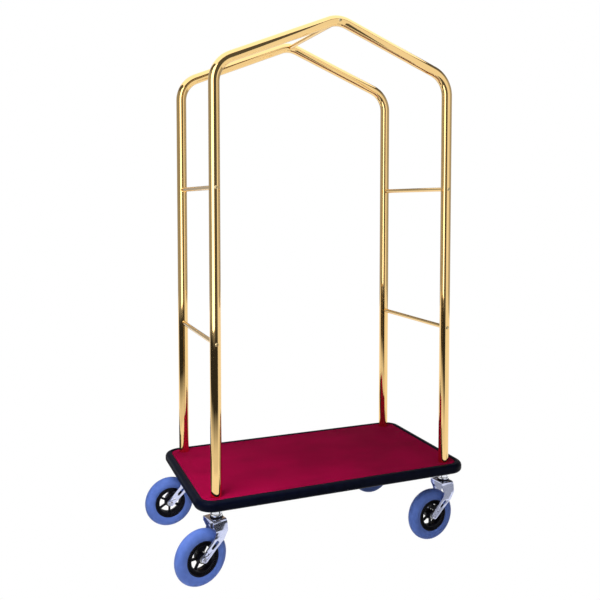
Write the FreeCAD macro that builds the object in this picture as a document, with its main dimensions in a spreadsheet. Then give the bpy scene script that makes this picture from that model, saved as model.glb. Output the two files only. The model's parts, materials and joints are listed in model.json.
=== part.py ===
import FreeCAD, Part

import math
import os

import Sketcher

# Hotel luggage cart: two gable hoops of polished tube joined by thin rods stand on a
# carpeted deck with a rubber bumper, over four swivel casters.
# Frame: origin on the floor under the deck's centre, +X along the deck's length,
# +Y from the front hoop to the rear hoop, +Z up. Millimetres, degrees.

DIMENSIONS = {
    # hoops and rods
    "post_pitch_x": 900,
    "post_pitch_y": 485,
    "tube_diameter": 38,
    "tube_wall": 1.5,
    "foot_height": 264,
    "upright_top": 1682,
    "roof_slope": 22,
    "bend_radius": 95,
    "rod_diameter": 16,
    "upper_rod_height": 1334,
    "lower_rod_height": 810,
    "screw_diameter": 6,
    "screw_head_diameter": 13,
    "screw_head_height": 3.5,
    "screw_depth": 20,
    "plug_length": 34,
    "stem_engagement": 27,
    # deck
    "deck_length": 1050,
    "deck_width": 600,
    "bumper_width": 25,
    "bumper_height": 36,
    "bumper_bottom": 254,
    "bumper_corner": 65,
    "bumper_round": 14,
    "board_thickness": 18,
    "carpet_thickness": 8,
    "carpet_roll": 7,
    "post_hole_gap": 0.2,
    "bar_width": 45,
    "bar_thickness": 8,
    "bar_length": 960,
    "cross_bar_pitch": 300,
    "deck_screw_diameter": 5,
    "deck_screw_length": 14,
    "deck_screw_head_diameter": 10,
    "deck_screw_head_face": 5,
    "deck_screw_head_height": 2.5,
    "deck_screw_pitch": 150,
    # caster swivel
    "trail": 62,
    "front_left_heading": 15,
    "front_right_heading": 6,
    "rear_left_heading": 2,
    "rear_right_heading": 4,
    "front_left_wheel_turn": 30,
    "front_right_wheel_turn": 0,
    "rear_left_wheel_turn": 0,
    "rear_right_wheel_turn": 0,
    "stem_diameter": 12,
    "running_gap": 0.05,
    "moving_gap": 0.3,
    "collar_diameter": 41,
    "collar_bottom": 224,
    "seal_diameter": 45,
    "crown_top": 220,
    "stem_head_width": 19,
    "stem_head_height": 8,
    "swivel_bearing_diameter": 30,
    "swivel_bearing_height": 8,
    # fork
    "sheet_thickness": 4,
    "crown_half_width": 36,
    "crown_front": -20,
    "crown_back": 32,
    "crown_bend_height": 184,
    "leg_half_width": 30,
    "leg_bend_height": 122,
    "crown_round": 7,
    "skirt_height": 204,
    "throat_back": 21,
    "throat_height": 180,
    "leg_top_back": 25,
    "leg_top_back_height": 162,
    "leg_top_front": -12,
    "leg_top_front_height": 150,
    "brow_front": -25,
    "brow_height": 178,
    "brow_top_front": -23,
    "leg_end_reach": 15,
    "leg_end_step": 2.5,
    "leg_end_round": 11,
    "leg_foot_height": 76,
    "slot_width": 10,
    "slot_top_reach": 47,
    "slot_top_rise": 50,
    "slot_foot_reach": 31,
    "slot_foot_rise": 33,
    "leg_hole_diameter": 5.5,
    "leg_hole_reach": 15,
    "leg_hole_rise": 17,
    "blank_length": 240,
    "blank_half_size": 300,
    # wheel
    "wheel_diameter": 192,
    "tyre_width": 46,
    "rim_diameter": 119,
    "rim_ring_width": 33,
    "rim_well_diameter": 90,
    "web_diameter": 83,
    "web_thickness": 9,
    "window_outer": 39.5,
    "window_inner": 19,
    "window_outer_half": 18.5,
    "window_inner_half": 7,
    "window_count": 6,
    "hub_diameter": 32,
    "hub_length": 38,
    "hub_taper": 2,
    "hub_bore": 18,
    "axle_diameter": 10,
    "axle_head_diameter": 17,
    "axle_head_height": 4.5,
    "axle_nut_width": 17,
    "axle_nut_height": 6,
    "axle_tip": 4,
    "wheel_bearing_diameter": 26,
    "wheel_bearing_width": 8,
    "spacer_diameter": 16,
}

CASTERS = {
    "front_left": (-1, -1),
    "front_right": (1, -1),
    "rear_left": (-1, 1),
    "rear_right": (1, 1),
}

START_POINT = 1
END_POINT = 2
CENTRE_POINT = 3
ORIGIN_GEOMETRY = -1
HEX_CORNERS = 6
NEAR = 0.1
DECK_SCREW_COLUMNS = 6
RECTANGLE_SIGNS = [(1, 1), (-1, 1), (-1, -1), (1, -1)]
TOP_AXIS = FreeCAD.Vector(0, 0, 1)

doc = FreeCAD.newDocument("luggage_cart")
sheet = doc.addObject("Spreadsheet::Sheet", "sheet")
nodes = []


def fill_sheet():
    for row, (alias, value) in enumerate(DIMENSIONS.items(), start=1):
        sheet.set(f"A{row}", alias)
        sheet.set(f"B{row}", str(value))
        sheet.setAlias(f"B{row}", alias)
    doc.recompute()


# Places worked out from the driving dimensions, as expressions.
HALF_X = "sheet.post_pitch_x / 2"
HALF_Y = "sheet.post_pitch_y / 2"
TUBE_RADIUS = "sheet.tube_diameter / 2"
BAR_BOTTOM = "(sheet.foot_height - sheet.bar_thickness)"
BOARD_TOP = "(sheet.foot_height + sheet.board_thickness)"
SLOPE = "(sheet.roof_slope * 1 deg)"
ARC_END_X = f"(sheet.bend_radius * sin({SLOPE}))"
SHOULDER_X = f"({HALF_X} - sheet.bend_radius + {ARC_END_X})"
SHOULDER_HEIGHT = f"(sheet.upright_top + sheet.bend_radius * cos({SLOPE}))"
ROOF_RISE = f"(({SHOULDER_X} - {ARC_END_X}) * tan({SLOPE}))"
ROOF_END_HEIGHT = f"({SHOULDER_HEIGHT} + {ROOF_RISE})"
PEAK_HEIGHT = f"({ROOF_END_HEIGHT} + sheet.bend_radius * (1 - cos({SLOPE})))"
WHEEL_RADIUS = "sheet.wheel_diameter / 2"


def cell(alias):
    return float(sheet.get(alias))


def finish(thing, label):
    """Names a sub-part and puts it on the list of pieces to write."""
    thing.Label = label
    nodes.append(thing)
    return thing


def place(thing, x="0", y="0", z="0", rotation=None):
    thing.Placement = FreeCAD.Placement(FreeCAD.Vector(), rotation or FreeCAD.Rotation())
    for axis, expression in zip("xyz", (x, y, z)):
        thing.setExpression(f"Placement.Base.{axis}", f"({expression}) * 1 mm")


# --- sketch and feature helpers ---------------------------------------------------


def plane(body, role):
    return next(item for item in body.Origin.OriginFeatures if item.Role == role)


def new_sketch(body, role, offset=None):
    sketch = body.newObject("Sketcher::SketchObject", "sketch")
    sketch.AttachmentSupport = [(plane(body, role), "")]
    sketch.MapMode = "FlatFace"
    if offset:
        sketch.setExpression("AttachmentOffset.Base.z", f"({offset}) * 1 mm")
    return sketch


def bind(sketch, constraint, expression):
    index = sketch.addConstraint(constraint)
    sketch.setExpression(f"Constraints[{index}]", expression)


def pin_point(sketch, geometry, point, x, y):
    """Ties one point of a sketch to two distances from the sketch's origin."""
    drawn = sketch.getPoint(geometry, point)
    for kind, now, expression in (("DistanceX", drawn.x, x), ("DistanceY", drawn.y, y)):
        tie = Sketcher.Constraint(kind, ORIGIN_GEOMETRY, START_POINT, geometry, point, now)
        bind(sketch, tie, expression)


def polygon(sketch, corners):
    """A closed outline through corners given as pairs of expressions."""
    count = len(corners)
    turns = [2 * math.pi * step / count for step in range(count)]
    guesses = [FreeCAD.Vector(math.cos(turn), math.sin(turn), 0) for turn in turns]
    first = sketch.GeometryCount
    for step in range(count):
        line = Part.LineSegment(guesses[step], guesses[(step + 1) % count])
        sketch.addGeometry(line)
    for step in range(count):
        following = first + (step + 1) % count
        joint = Sketcher.Constraint("Coincident", first + step, END_POINT, following, START_POINT)
        sketch.addConstraint(joint)
    for step, (x, y) in enumerate(corners):
        pin_point(sketch, first + step, START_POINT, x, y)


def circle(sketch, radius, x="0", y="0"):
    index = sketch.addGeometry(Part.Circle(FreeCAD.Vector(), TOP_AXIS, 1.0))
    bind(sketch, Sketcher.Constraint("Radius", index, 1.0), radius)
    pin_point(sketch, index, CENTRE_POINT, x, y)


def pad(body, sketch, length, symmetric=False):
    feature = body.newObject("PartDesign::Pad", "pad")
    feature.Profile = sketch
    feature.setExpression("Length", f"({length}) * 1 mm")
    feature.Midplane = symmetric
    return feature


def pocket(body, sketch):
    """Cuts the sketch right through the solid, both ways from its plane."""
    feature = body.newObject("PartDesign::Pocket", "pocket")
    feature.Profile = sketch
    feature.Type = "ThroughAll"
    feature.Midplane = True
    return feature


def blind_pocket(body, sketch, depth, reverse=False):
    feature = body.newObject("PartDesign::Pocket", "blind_pocket")
    feature.Profile = sketch
    feature.setExpression("Length", f"({depth}) * 1 mm")
    feature.Reversed = reverse
    return feature


def revolve(body, sketch):
    feature = body.newObject("PartDesign::Revolution", "revolution")
    feature.Profile = sketch
    feature.ReferenceAxis = (sketch, ["V_Axis"])
    feature.Angle = 360
    return feature


def fillet(body, base, radius, wanted):
    """Rounds the edges of base whose midpoint and direction pass the test."""
    doc.recompute()
    names = []
    for number, edge in enumerate(base.Shape.Edges, start=1):
        first, last = edge.ParameterRange
        middle = (first + last) / 2
        if wanted(edge.valueAt(middle), edge.tangentAt(middle)):
            names.append(f"Edge{number}")
    feature = body.newObject("PartDesign::Fillet", "fillet")
    feature.Base = (base, names)
    feature.setExpression("Radius", f"({radius}) * 1 mm")
    return feature


def hexagon_prism(label, width, height):
    prism = doc.addObject("Part::Prism", label)
    prism.Polygon = HEX_CORNERS
    prism.setExpression("Circumradius", f"{width} / 2 / cos(30 deg) * 1 mm")
    prism.setExpression("Height", f"({height}) * 1 mm")
    return prism


def cylinder(label, radius, height):
    round_bar = doc.addObject("Part::Cylinder", label)
    round_bar.setExpression("Radius", f"({radius}) * 1 mm")
    round_bar.setExpression("Height", f"({height}) * 1 mm")
    return round_bar


def domed_head(label, diameter, height):
    """A round head cut from a ball, its flat face down on the origin."""
    dome_radius = f"(({diameter}) ^ 2 / 8 / ({height}) + ({height}) / 2)"
    ball = doc.addObject("Part::Sphere", f"{label}_ball")
    ball.setExpression("Radius", f"{dome_radius} * 1 mm")
    place(ball, z=f"{height} - {dome_radius}")
    head = doc.addObject("Part::Common", label)
    head.Base = ball
    head.Tool = cylinder(f"{label}_blank", f"({diameter}) / 2", height)
    return head


def fuse(label, base, tool):
    joined = doc.addObject("Part::Fuse", label)
    joined.Base = base
    joined.Tool = tool
    return joined


def cut(label, base, tool):
    rest = doc.addObject("Part::Cut", label)
    rest.Base = base
    rest.Tool = tool
    return rest


def ring(label, outer, inner, height):
    return cut(label, cylinder("ring_blank", outer, height), cylinder("ring_bore", inner, height))


def group(label, pieces):
    """Several separate solids that share one node."""
    bundle = doc.addObject("Part::Compound", label)
    bundle.Links = pieces
    finish(bundle, label)


# --- hoops and rods ---------------------------------------------------------------


def hoop_path(sketch):
    """Upright, shoulder bend, slope, peak bend, slope, shoulder bend, upright."""
    half = cell("post_pitch_x") / 2
    radius = cell("bend_radius")
    foot, top = cell("foot_height"), cell("upright_top")
    slope = math.radians(cell("roof_slope"))
    arc_x = radius * math.sin(slope)
    shoulder_x = half - radius + arc_x
    shoulder_z = top + radius * math.cos(slope)
    roof_z = shoulder_z + (shoulder_x - arc_x) * math.tan(slope)
    peak_centre = FreeCAD.Vector(0, roof_z - radius * math.cos(slope), 0)
    quarter = math.pi / 2
    pieces = [
        Part.LineSegment(FreeCAD.Vector(-half, foot, 0), FreeCAD.Vector(-half, top, 0)),
        Part.ArcOfCircle(
            Part.Circle(FreeCAD.Vector(radius - half, top, 0), TOP_AXIS, radius),
            quarter + slope,
            2 * quarter,
        ),
        Part.LineSegment(
            FreeCAD.Vector(-shoulder_x, shoulder_z, 0), FreeCAD.Vector(-arc_x, roof_z, 0)
        ),
        Part.ArcOfCircle(
            Part.Circle(peak_centre, TOP_AXIS, radius), quarter - slope, quarter + slope
        ),
        Part.LineSegment(
            FreeCAD.Vector(arc_x, roof_z, 0), FreeCAD.Vector(shoulder_x, shoulder_z, 0)
        ),
        Part.ArcOfCircle(
            Part.Circle(FreeCAD.Vector(half - radius, top, 0), TOP_AXIS, radius),
            0,
            quarter - slope,
        ),
        Part.LineSegment(FreeCAD.Vector(half, top, 0), FreeCAD.Vector(half, foot, 0)),
    ]
    for piece in pieces:
        sketch.addGeometry(piece)
    upright_left, shoulder_left, roof_left, peak = 0, 1, 2, 3
    roof_right, shoulder_right, upright_right = 4, 5, 6
    # an arc runs anticlockwise, so each bend is met at its end and left at its start
    joints = [
        (upright_left, END_POINT, shoulder_left, END_POINT),
        (shoulder_left, START_POINT, roof_left, START_POINT),
        (roof_left, END_POINT, peak, END_POINT),
        (peak, START_POINT, roof_right, START_POINT),
        (roof_right, END_POINT, shoulder_right, END_POINT),
        (shoulder_right, START_POINT, upright_right, START_POINT),
    ]
    for joint in joints:
        sketch.addConstraint(Sketcher.Constraint("Coincident", *joint))
    corners = [
        (upright_left, START_POINT, f"-{HALF_X}", "sheet.foot_height"),
        (upright_left, END_POINT, f"-{HALF_X}", "sheet.upright_top"),
        (roof_left, START_POINT, f"-{SHOULDER_X}", SHOULDER_HEIGHT),
        (roof_left, END_POINT, f"-{ARC_END_X}", ROOF_END_HEIGHT),
        (roof_right, START_POINT, ARC_END_X, ROOF_END_HEIGHT),
        (roof_right, END_POINT, SHOULDER_X, SHOULDER_HEIGHT),
        (upright_right, START_POINT, HALF_X, "sheet.upright_top"),
        (upright_right, END_POINT, HALF_X, "sheet.foot_height"),
    ]
    for geometry, point, x, y in corners:
        pin_point(sketch, geometry, point, x, y)
    for bend in (shoulder_left, peak, shoulder_right):
        bind(sketch, Sketcher.Constraint("Radius", bend, radius), "sheet.bend_radius")


def make_hoop(label, side):
    body = doc.addObject("PartDesign::Body", label)
    path = new_sketch(body, "XZ_Plane")
    hoop_path(path)
    section = new_sketch(body, "XY_Plane", "sheet.foot_height")
    circle(section, TUBE_RADIUS, f"-{HALF_X}")
    circle(section, f"{TUBE_RADIUS} - sheet.tube_wall", f"-{HALF_X}")
    pipe = body.newObject("PartDesign::AdditivePipe", "pipe")
    pipe.Profile = section
    pipe.Spine = path
    holes = new_sketch(body, "XZ_Plane")
    screw_radius = "sheet.screw_diameter / 2"
    for sign in ("-", ""):
        for height in ("sheet.upper_rod_height", "sheet.lower_rod_height"):
            circle(holes, screw_radius, f"{sign}{HALF_X}", height)
    circle(holes, screw_radius, "0", PEAK_HEIGHT)
    pocket(body, holes)
    place(body, y=f"{side} * {HALF_Y}")
    finish(body, label)


def make_rod(label, x, height, coping_plane):
    """A thin rod from hoop to hoop, its ends hollowed to sit against the tubes."""
    body = doc.addObject("PartDesign::Body", label)
    section = new_sketch(body, "XZ_Plane")
    circle(section, "sheet.rod_diameter / 2")
    pad(body, section, "sheet.post_pitch_y", symmetric=True)
    coping = new_sketch(body, coping_plane)
    for sign in ("-", ""):
        along = f"{sign}{HALF_Y}"
        across = ("0", along) if coping_plane == "XY_Plane" else (along, "0")
        circle(coping, TUBE_RADIUS, *across)
    pocket(body, coping)
    # a sketch on this plane faces -Y, so the end at -Y stands at a positive offset
    for offset, reverse in ((HALF_Y, False), (f"-{HALF_Y}", True)):
        thread = new_sketch(body, "XZ_Plane", offset)
        circle(thread, "sheet.screw_diameter / 2")
        depth = f"{TUBE_RADIUS} + sheet.screw_depth"
        blind_pocket(body, thread, depth, reverse)
    place(body, x=x, z=height)
    finish(body, label)


def make_rod_screws():
    """Round-headed screws through the hoops into the ends of the rods."""
    posts = [
        (f"{sign}{HALF_X}", height)
        for sign in ("-", "")
        for height in ("sheet.upper_rod_height", "sheet.lower_rod_height")
    ]
    posts.append(("0", PEAK_HEIGHT))
    screws = []
    for side in (-1, 1):
        for x, height in posts:
            head = domed_head(
                "screw_head", "sheet.screw_head_diameter", "sheet.screw_head_height"
            )
            place(head, z=TUBE_RADIUS)
            reach = "sheet.tube_diameter + sheet.screw_depth"
            shank = cylinder("screw_shank", "sheet.screw_diameter / 2", reach)
            place(shank, z=f"-{TUBE_RADIUS} - sheet.screw_depth")
            screw = fuse("rod_screw", head, shank)
            outward = FreeCAD.Rotation(FreeCAD.Vector(1, 0, 0), -side * 90)
            place(screw, x, f"{side} * {HALF_Y}", height, outward)
            screws.append(screw)
    group("rod_screws", screws)


def make_post_plugs():
    """Threaded plugs pressed into the feet of the four uprights."""
    plugs = []
    for sign_x, sign_y in CASTERS.values():
        outer, bore = f"{TUBE_RADIUS} - sheet.tube_wall", "sheet.stem_diameter / 2"
        plug = ring("post_plug", outer, bore, "sheet.plug_length")
        place(plug, f"{sign_x} * {HALF_X}", f"{sign_y} * {HALF_Y}", "sheet.foot_height")
        plugs.append(plug)
    group("post_plugs", plugs)


# --- deck -------------------------------------------------------------------------


def deck_outline(sketch, inset_alias=None):
    """The deck's rounded outline, drawn in all round by the width in inset_alias."""
    inset = cell(inset_alias) if inset_alias else 0
    inset_text = f"sheet.{inset_alias}" if inset_alias else "0"
    radius = cell("bumper_corner") - inset
    centre_x = (cell("deck_length") / 2) - inset - radius
    centre_y = (cell("deck_width") / 2) - inset - radius
    first = sketch.GeometryCount
    for step, (sign_x, sign_y) in enumerate(RECTANGLE_SIGNS):
        centre = FreeCAD.Vector(sign_x * centre_x, sign_y * centre_y, 0)
        begin = step * math.pi / 2
        corner = Part.Circle(centre, TOP_AXIS, radius)
        sketch.addGeometry(Part.ArcOfCircle(corner, begin, begin + math.pi / 2))
    for step in range(len(RECTANGLE_SIGNS)):
        arc, following = first + step, first + (step + 1) % len(RECTANGLE_SIGNS)
        begin = sketch.getPoint(arc, END_POINT)
        end = sketch.getPoint(following, START_POINT)
        side = sketch.addGeometry(Part.LineSegment(begin, end))
        for joint in (
            (arc, END_POINT, side, START_POINT),
            (side, END_POINT, following, START_POINT),
        ):
            sketch.addConstraint(Sketcher.Constraint("Tangent", *joint))
    for step, (sign_x, sign_y) in enumerate(RECTANGLE_SIGNS):
        x = f"{sign_x} * (sheet.deck_length / 2 - sheet.bumper_corner)"
        y = f"{sign_y} * (sheet.deck_width / 2 - sheet.bumper_corner)"
        pin_point(sketch, first + step, CENTRE_POINT, x, y)
    corner_radius = f"sheet.bumper_corner - {inset_text}"
    bind(sketch, Sketcher.Constraint("Radius", first, radius), corner_radius)


def post_holes(sketch, radius):
    for sign_x, sign_y in CASTERS.values():
        circle(sketch, radius, f"{sign_x} * {HALF_X}", f"{sign_y} * {HALF_Y}")


def deck_screw_places():
    """Two rows of screws, one along each long bar."""
    places = []
    for step in range(DECK_SCREW_COLUMNS):
        column = step - (DECK_SCREW_COLUMNS - 1) / 2
        places += [(f"{column} * sheet.deck_screw_pitch", side) for side in (-1, 1)]
    return places


def make_board():
    body = doc.addObject("PartDesign::Body", "deck_board")
    outline = new_sketch(body, "XY_Plane", "sheet.foot_height")
    deck_outline(outline, "bumper_width")
    post_holes(outline, f"{TUBE_RADIUS} + sheet.post_hole_gap")
    pad(body, outline, "sheet.board_thickness")
    pilots = new_sketch(body, "XY_Plane", "sheet.foot_height")
    for x, side in deck_screw_places():
        circle(pilots, "sheet.deck_screw_diameter / 2", x, f"{side} * {HALF_Y}")
    blind_pocket(body, pilots, "sheet.deck_screw_length", reverse=True)
    place(body)
    finish(body, "deck_board")


def make_carpet():
    """Carpet over the board, its edge rolled down inside the bumper."""
    body = doc.addObject("PartDesign::Body", "carpet")
    outline = new_sketch(body, "XY_Plane", BOARD_TOP)
    deck_outline(outline, "bumper_width")
    post_holes(outline, f"{TUBE_RADIUS} + sheet.post_hole_gap")
    mat = pad(body, outline, "sheet.carpet_thickness")
    top = cell("foot_height") + cell("board_thickness") + cell("carpet_thickness")

    def outer_top(point, tangent):
        from_post_x = abs(point.x) - cell("post_pitch_x") / 2
        from_post_y = abs(point.y) - cell("post_pitch_y") / 2
        at_hole = math.hypot(from_post_x, from_post_y) < cell("tube_diameter")
        return abs(point.z - top) < NEAR and not at_hole

    fillet(body, mat, "sheet.carpet_roll", outer_top)
    place(body)
    finish(body, "carpet")


def make_bumper():
    """Rubber bumper ring round the deck's edge, with a rounded outer face."""
    body = doc.addObject("PartDesign::Body", "bumper")
    outline = new_sketch(body, "XY_Plane", "sheet.bumper_bottom")
    deck_outline(outline)
    deck_outline(outline, "bumper_width")
    ring_pad = pad(body, outline, "sheet.bumper_height")
    half_x, half_y = cell("deck_length") / 2, cell("deck_width") / 2
    # how far a round corner's middle stands in from the square corner
    cut_in = cell("bumper_corner") * (1 - math.sqrt(0.5))

    def outer_edge(point, tangent):
        from_x, from_y = half_x - abs(point.x), half_y - abs(point.y)
        on_side = from_x < NEAR or from_y < NEAR
        on_corner = abs(from_x - cut_in) < NEAR and abs(from_y - cut_in) < NEAR
        return (on_side or on_corner) and abs(tangent.z) < NEAR

    fillet(body, ring_pad, "sheet.bumper_round", outer_edge)
    place(body)
    finish(body, "bumper")


def make_bar(label, length_x, width_y, x, y, holes=()):
    """A flat steel bar under the board; holes lists x and radius expressions."""
    body = doc.addObject("PartDesign::Body", label)
    outline = new_sketch(body, "XY_Plane", BAR_BOTTOM)
    half_x, half_y = f"({length_x}) / 2", f"({width_y}) / 2"
    polygon(outline, [(f"{i} * {half_x}", f"{j} * {half_y}") for i, j in RECTANGLE_SIGNS])
    for hole_x, radius in holes:
        circle(outline, radius, hole_x)
    pad(body, outline, "sheet.bar_thickness")
    place(body, x=x, y=y)
    finish(body, label)


def make_bars():
    stem_holes = [(f"{sign}{HALF_X}", "sheet.stem_diameter / 2") for sign in ("-", "")]
    screw_holes = [
        (x, "sheet.deck_screw_diameter / 2") for x, side in deck_screw_places() if side > 0
    ]
    for label, side in (("front_bar", -1), ("rear_bar", 1)):
        make_bar(
            label,
            "sheet.bar_length",
            "sheet.bar_width",
            "0",
            f"{side} * {HALF_Y}",
            stem_holes + screw_holes,
        )
    for label, step in (("left_cross_bar", -1), ("middle_cross_bar", 0), ("right_cross_bar", 1)):
        make_bar(
            label,
            "sheet.bar_width",
            "sheet.post_pitch_y - sheet.bar_width",
            f"{step} * sheet.cross_bar_pitch",
            "0",
        )


def make_deck_screws():
    """Pan-headed screws up through the bars into the board."""
    screws = []
    for x, side in deck_screw_places():
        head = doc.addObject("Part::Cone", "deck_screw_head")
        head.setExpression("Radius1", "sheet.deck_screw_head_face / 2 * 1 mm")
        head.setExpression("Radius2", "sheet.deck_screw_head_diameter / 2 * 1 mm")
        head.setExpression("Height", "sheet.deck_screw_head_height * 1 mm")
        place(head, z=f"{BAR_BOTTOM} - sheet.deck_screw_head_height")
        reach = "sheet.bar_thickness + sheet.deck_screw_length"
        shank = cylinder("deck_screw_shank", "sheet.deck_screw_diameter / 2", reach)
        place(shank, z=BAR_BOTTOM)
        screw = fuse("deck_screw", head, shank)
        place(screw, x, f"{side} * {HALF_Y}")
        screws.append(screw)
    group("deck_screws", screws)


# --- casters ----------------------------------------------------------------------
# A caster's own frame has its origin on the floor under the stem, +X trailing towards
# the wheel and +Y along the axle. A wheel's own frame has its origin at the wheel's
# centre and +Z along the axle.


def caster_rotation(corner):
    heading = cell(f"{corner}_heading")
    return FreeCAD.Rotation(TOP_AXIS, 180 + heading)


def wheel_rotation(corner):
    tip_over = FreeCAD.Rotation(FreeCAD.Vector(1, 0, 0), -90)
    return caster_rotation(corner).multiply(tip_over)


def place_on_stem(thing, corner, z="0"):
    sign_x, sign_y = CASTERS[corner]
    place(
        thing,
        f"{sign_x} * {HALF_X}",
        f"{sign_y} * {HALF_Y}",
        z,
        caster_rotation(corner),
    )


def place_on_axle(thing, corner, along="0"):
    """Puts a wheel-frame piece on the axle, a distance along it."""
    sign_x, sign_y = CASTERS[corner]
    heading = f"(sheet.{corner}_heading * 1 deg)"
    x = f"{sign_x} * {HALF_X} - sheet.trail * cos({heading}) + ({along}) * sin({heading})"
    y = f"{sign_y} * {HALF_Y} - sheet.trail * sin({heading}) - ({along}) * cos({heading})"
    place(thing, x, y, WHEEL_RADIUS, wheel_rotation(corner))


CROWN_UNDERSIDE = "(sheet.crown_top - sheet.sheet_thickness)"
SWIVEL_BEARING_BOTTOM = f"({CROWN_UNDERSIDE} - sheet.swivel_bearing_height)"
STEM_HEAD_TOP = f"({SWIVEL_BEARING_BOTTOM} - sheet.moving_gap)"


def make_stem_bolts():
    """Caster stems: hexagon-headed bolts from under the crowns up into the posts."""
    bolts = []
    for sign_x, sign_y in CASTERS.values():
        head = hexagon_prism("stem_head", "sheet.stem_head_width", "sheet.stem_head_height")
        place(head, z=f"{STEM_HEAD_TOP} - sheet.stem_head_height")
        reach = f"sheet.foot_height + sheet.stem_engagement - {STEM_HEAD_TOP}"
        shank = cylinder("stem_shank", "sheet.stem_diameter / 2", reach)
        place(shank, z=STEM_HEAD_TOP)
        bolt = fuse("stem_bolt", head, shank)
        place(bolt, f"{sign_x} * {HALF_X}", f"{sign_y} * {HALF_Y}")
        bolts.append(bolt)
    group("stem_bolts", bolts)


def make_collar(corner):
    height = f"{BAR_BOTTOM} - sheet.collar_bottom"
    collar = ring("collar", "sheet.collar_diameter / 2", "sheet.stem_diameter / 2", height)
    place_on_stem(collar, corner, "sheet.collar_bottom")
    finish(collar, f"{corner}_collar")


def make_seal(corner):
    gap = "sheet.crown_top + sheet.moving_gap"
    height = f"sheet.collar_bottom - ({gap})"
    seal = ring("seal", "sheet.seal_diameter / 2", "sheet.stem_diameter / 2", height)
    place_on_stem(seal, corner, gap)
    finish(seal, f"{corner}_dust_seal")


def make_swivel_bearing(corner):
    bore = "sheet.stem_diameter / 2 + sheet.running_gap"
    bearing = ring(
        "swivel_bearing", "sheet.swivel_bearing_diameter / 2", bore, "sheet.swivel_bearing_height"
    )
    place_on_stem(bearing, corner, SWIVEL_BEARING_BOTTOM)
    finish(bearing, f"{corner}_swivel_bearing")


def fork_section():
    """The fork seen along its travel: a crown with two legs that close in to the hub."""
    thickness = "sheet.sheet_thickness"
    outer = [
        ("sheet.leg_half_width", "sheet.leg_foot_height"),
        ("sheet.leg_half_width", "sheet.leg_bend_height"),
        ("sheet.crown_half_width", "sheet.crown_bend_height"),
        ("sheet.crown_half_width", "sheet.crown_top"),
    ]
    inner = [
        (f"sheet.crown_half_width - {thickness}", CROWN_UNDERSIDE),
        (f"sheet.crown_half_width - {thickness}", "sheet.crown_bend_height"),
        (f"sheet.leg_half_width - {thickness}", "sheet.leg_bend_height"),
        (f"sheet.leg_half_width - {thickness}", "sheet.leg_foot_height"),
    ]
    far_outer = [(f"-({y})", height) for y, height in reversed(outer)]
    far_inner = [(f"-({y})", height) for y, height in reversed(inner)]
    return outer + far_outer + far_inner + inner


def fork_outline():
    """The fork seen along the axle: crown above, legs raked back to the axle."""
    return [
        ("sheet.crown_front", "sheet.crown_top"),
        ("sheet.crown_back", "sheet.crown_top"),
        ("sheet.crown_back", "sheet.skirt_height"),
        ("sheet.throat_back", "sheet.throat_height"),
        ("sheet.leg_top_back", "sheet.leg_top_back_height"),
        ("sheet.trail + sheet.leg_end_reach", f"{WHEEL_RADIUS} + sheet.leg_end_step"),
        ("sheet.trail - sheet.leg_end_step", f"{WHEEL_RADIUS} - sheet.leg_end_reach"),
        ("sheet.leg_top_front", "sheet.leg_top_front_height"),
        ("sheet.brow_front", "sheet.brow_height"),
        ("sheet.brow_top_front", "sheet.skirt_height"),
    ]


def slot_sides():
    """The long slot's straight part, a rectangle raked along the leg."""
    run = "(sheet.slot_top_reach - sheet.slot_foot_reach)"
    fall = "(sheet.slot_top_rise - sheet.slot_foot_rise)"
    scale = f"sheet.slot_width / 2 / sqrt({run} ^ 2 + {fall} ^ 2)"
    corners = []
    for end, side in (("top", 1), ("foot", 1), ("foot", -1), ("top", -1)):
        x = f"sheet.trail - sheet.slot_{end}_reach + {side} * {fall} * {scale}"
        height = f"{WHEEL_RADIUS} + sheet.slot_{end}_rise + {side} * {run} * {scale}"
        corners.append((x, height))
    return corners


def make_fork(corner):
    body = doc.addObject("PartDesign::Body", "fork")
    section = new_sketch(body, "YZ_Plane")
    polygon(section, fork_section())
    blank = pad(body, section, "sheet.blank_length", symmetric=True)

    def crown_edge(point, tangent):
        at_side = abs(abs(point.y) - cell("crown_half_width")) < NEAR
        return at_side and abs(point.z - cell("crown_top")) < NEAR

    fillet(body, blank, "sheet.crown_round", crown_edge)
    trim = new_sketch(body, "XZ_Plane")
    far = "sheet.blank_half_size"
    polygon(trim, [(f"{i} * {far}", f"{j} * {far}") for i, j in RECTANGLE_SIGNS])
    polygon(trim, fork_outline())
    trimmed = pocket(body, trim)
    axle_height = cell("wheel_diameter") / 2

    def leg_end(point, tangent):
        return abs(tangent.y) > 1 - NEAR and point.z < axle_height + cell("leg_end_reach")

    fillet(body, trimmed, "sheet.leg_end_round", leg_end)
    drills = new_sketch(body, "XZ_Plane")
    for end in ("top", "foot"):
        x, height = f"sheet.trail - sheet.slot_{end}_reach", f"sheet.slot_{end}_rise"
        circle(drills, "sheet.slot_width / 2", x, f"{WHEEL_RADIUS} + {height}")
    hole_x, hole_height = "sheet.trail - sheet.leg_hole_reach", "sheet.leg_hole_rise"
    circle(drills, "sheet.leg_hole_diameter / 2", hole_x, f"{WHEEL_RADIUS} + {hole_height}")
    circle(drills, "sheet.axle_diameter / 2", "sheet.trail", WHEEL_RADIUS)
    pocket(body, drills)
    slot = new_sketch(body, "XZ_Plane")
    polygon(slot, slot_sides())
    pocket(body, slot)
    bore = new_sketch(body, "XY_Plane")
    circle(bore, "sheet.stem_diameter / 2 + sheet.running_gap")
    pocket(body, bore)
    place_on_stem(body, corner)
    finish(body, f"{corner}_fork")


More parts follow.
